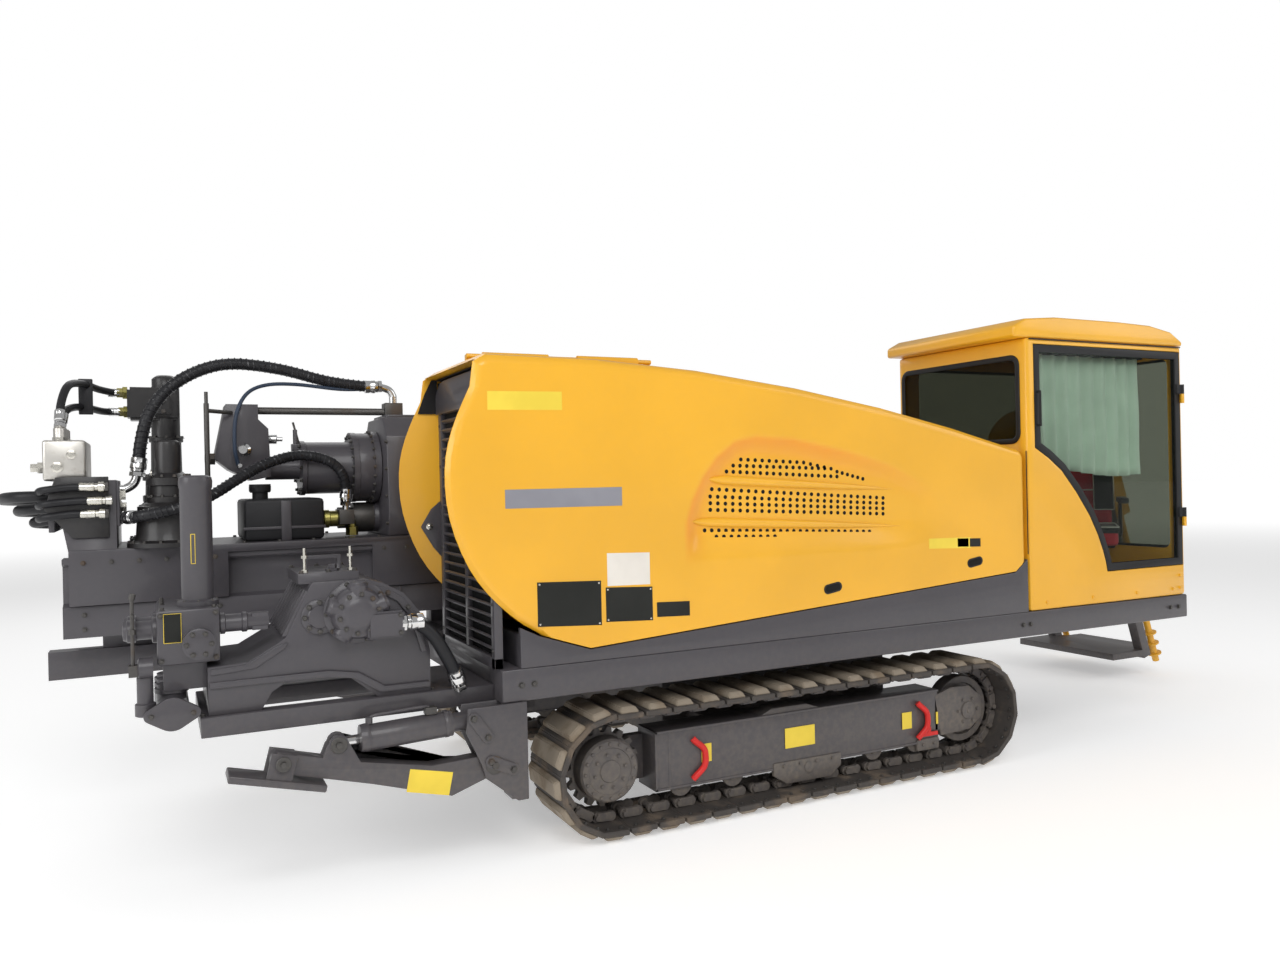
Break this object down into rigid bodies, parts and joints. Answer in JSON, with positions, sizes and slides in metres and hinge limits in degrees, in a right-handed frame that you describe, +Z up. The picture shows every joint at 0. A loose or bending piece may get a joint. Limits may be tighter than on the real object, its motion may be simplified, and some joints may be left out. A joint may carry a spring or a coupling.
{
  "type": "horizontal directional drilling rig on tracks with cab and mud pump",
  "caption": "Tracked horizontal drilling rig: side cab, engine hood and mud pump beside a tilting rack mast with sliding power head, vises, ground anchors and stabiliser legs.",
  "frame": {"origin": "at ground level under the middle of the machine's length and width", "axes": "+X towards the drilling end beside the cab, +Y towards the mast's lane, -Y the service lane with pump, hood and cab, +Z up"},
  "size_m": [8.1, 2.25, 2.6],
  "materials": {
    "rig_yellow": "satin yellow enamel",
    "frame_grey": "dark grey enamel on frames and machinery",
    "track_steel": "dark cast steel, worn on the pads",
    "bright_steel": "plated rods and fittings",
    "aluminium": "milled valve block",
    "black_rubber": "black rubber and hose cover",
    "black_plastic": "moulded black",
    "tinted_glass": "tinted safety glass",
    "seat_cloth": "red and black cloth with white piping"
  },
  "bodies": {
    "chassis": {"track_near": "track_steel", "track_far": "track_steel", "track_frame_near": "frame_grey", "track_frame_far": "frame_grey", "sprocket_near": "bright_steel", "sprocket_far": "bright_steel", "car_body": "frame_grey", "deck_frame": "frame_grey", "hood_skirt": "frame_grey", "hood_grille": "frame_grey", "hood_panel_far": "rig_yellow", "engine_block": "frame_grey", "cab_shell": "rig_yellow", "cab_roof": "rig_yellow", "cab_window_left": "tinted_glass", "cab_window_right": "tinted_glass", "cab_window_far": "tinted_glass", "operator_seat": "seat_cloth", "seat_base": "black_plastic", "control_console": "black_plastic", "pump_platform": "frame_grey", "pump_crankcase": "frame_grey", "pump_fluid_end": "frame_grey", "pulsation_damper": "frame_grey", "pump_motor": "frame_grey", "pump_hose": "black_rubber", "leg_bracket_near": "frame_grey", "leg_bracket_far": "frame_grey"},
    "hood": {"hood_panel_near": "rig_yellow"},
    "cab_door": {"cab_door_frame": "black_plastic", "cab_door_glass": "tinted_glass"},
    "mast": {"mast_frame": "frame_grey", "clamp_vise": "frame_grey", "anchor_guides": "frame_grey"},
    "lift_barrel": {"mast_lift_barrel": "frame_grey"},
    "lift_rod": {"mast_lift_rod": "bright_steel"},
    "carriage": {"carriage_frame": "frame_grey", "feed_motor_near": "frame_grey", "feed_motor_far": "frame_grey", "rotary_gearbox": "frame_grey", "spindle_housing": "frame_grey", "swivel_tie": "bright_steel", "rotation_motor": "frame_grey", "oil_tank": "black_plastic", "valve_block": "aluminium", "carriage_hoses": "black_rubber", "swivel_hoses": "black_rubber", "motor_hoses": "black_rubber"},
    "spindle": {"spindle": "bright_steel"},
    "breakout": {"breakout_vise": "rig_yellow"},
    "anchor_near": {"anchor_near": "rig_yellow"},
    "anchor_far": {"anchor_far": "rig_yellow"},
    "leg_near": {"leg_arm_near": "frame_grey"},
    "leg_far": {"leg_arm_far": "frame_grey"},
    "foot_near": {"leg_foot_near": "frame_grey"},
    "foot_far": {"leg_foot_far": "frame_grey"},
    "leg_barrel_near": {"leg_barrel_near": "frame_grey"},
    "leg_barrel_far": {"leg_barrel_far": "frame_grey"},
    "leg_rod_near": {"leg_rod_near": "bright_steel"},
    "leg_rod_far": {"leg_rod_far": "bright_steel"}
  },
  "joints": [
    {"name": "mast_tilt", "type": "hinge", "parent": "chassis", "child": "mast", "pos_m": [2.85, 0.5, 0.86], "axis": [0, 1, 0], "range_deg": [0, 15]},
    {"name": "mast_lift_swing", "type": "hinge", "parent": "chassis", "child": "lift_barrel", "pos_m": [0.25, 0.5, 0.775], "axis": [0, 1, 0], "range_deg": [0, 40.4]},
    {"name": "mast_lift_stroke", "type": "slide", "parent": "lift_barrel", "child": "lift_rod", "axis": [-0.9946, 0, 0.1036], "range_m": [0, 0.327]},
    {"name": "carriage_feed", "type": "slide", "parent": "mast", "child": "carriage", "axis": [1, 0, 0], "range_m": [0, 4.4]},
    {"name": "spindle_turn", "type": "hinge", "parent": "carriage", "child": "spindle", "pos_m": [-1.7, 0.5, 1.785], "axis": [1, 0, 0], "continuous": true},
    {"name": "breakout_swing", "type": "hinge", "parent": "mast", "child": "breakout", "pos_m": [3.08, 0.5, 1.785], "axis": [1, 0, 0], "range_deg": [0, 25]},
    {"name": "anchor_feed_near", "type": "slide", "parent": "mast", "child": "anchor_near", "axis": [0.3156, 0, -0.9489], "range_m": [0, 0.9]},
    {"name": "anchor_feed_far", "type": "slide", "parent": "mast", "child": "anchor_far", "axis": [0.3156, 0, -0.9489], "range_m": [0, 0.9]},
    {"name": "hood_swing", "type": "hinge", "parent": "chassis", "child": "hood", "pos_m": [0, -0.6225, 2.3], "axis": [-1, 0, 0], "range_deg": [0, 70]},
    {"name": "cab_door_swing", "type": "hinge", "parent": "chassis", "child": "cab_door", "pos_m": [2.662, -1.109, 1.05], "axis": [0, 0, 1], "range_deg": [0, 100]},
    {"name": "leg_swing_near", "type": "hinge", "parent": "chassis", "child": "leg_near", "pos_m": [-2.035, -1.045, 0.445], "axis": [0, -1, 0], "range_deg": [0, 31]},
    {"name": "leg_swing_far", "type": "hinge", "parent": "chassis", "child": "leg_far", "pos_m": [-2.035, 1.045, 0.445], "axis": [0, -1, 0], "range_deg": [0, 31]},
    {"name": "foot_pivot_near", "type": "hinge", "parent": "leg_near", "child": "foot_near", "pos_m": [-2.909, -1.045, 0.582], "axis": [0, 1, 0], "range_deg": [-2, 28]},
    {"name": "foot_pivot_far", "type": "hinge", "parent": "leg_far", "child": "foot_far", "pos_m": [-2.909, 1.045, 0.582], "axis": [0, 1, 0], "range_deg": [-2, 28]},
    {"name": "leg_cylinder_swing_near", "type": "hinge", "parent": "chassis", "child": "leg_barrel_near", "pos_m": [-2.11, -1.045, 0.644], "axis": [0, -1, 0], "range_deg": [0, 31.6]},
    {"name": "leg_cylinder_swing_far", "type": "hinge", "parent": "chassis", "child": "leg_barrel_far", "pos_m": [-2.11, 1.045, 0.644], "axis": [0, -1, 0], "range_deg": [0, 31.6]},
    {"name": "leg_cylinder_stroke_near", "type": "slide", "parent": "leg_barrel_near", "child": "leg_rod_near", "axis": [-0.9991, 0, -0.0414], "range_m": [0, 0.115]},
    {"name": "leg_cylinder_stroke_far", "type": "slide", "parent": "leg_barrel_far", "child": "leg_rod_far", "axis": [-0.9991, 0, -0.0414], "range_m": [0, 0.115]}
  ],
  "couplings": [
    {"joint": "mast_lift_swing", "follows": "mast_tilt", "ratio": 2.6863},
    {"joint": "mast_lift_stroke", "follows": "mast_tilt", "m_per_rad": 1.2467},
    {"joint": "leg_cylinder_swing_near", "follows": "leg_swing_near", "ratio": 1.0147},
    {"joint": "leg_cylinder_stroke_near", "follows": "leg_swing_near", "m_per_rad": 0.20986},
    {"joint": "leg_cylinder_swing_far", "follows": "leg_swing_far", "ratio": 1.0147},
    {"joint": "leg_cylinder_stroke_far", "follows": "leg_swing_far", "m_per_rad": 0.20986}
  ]
}
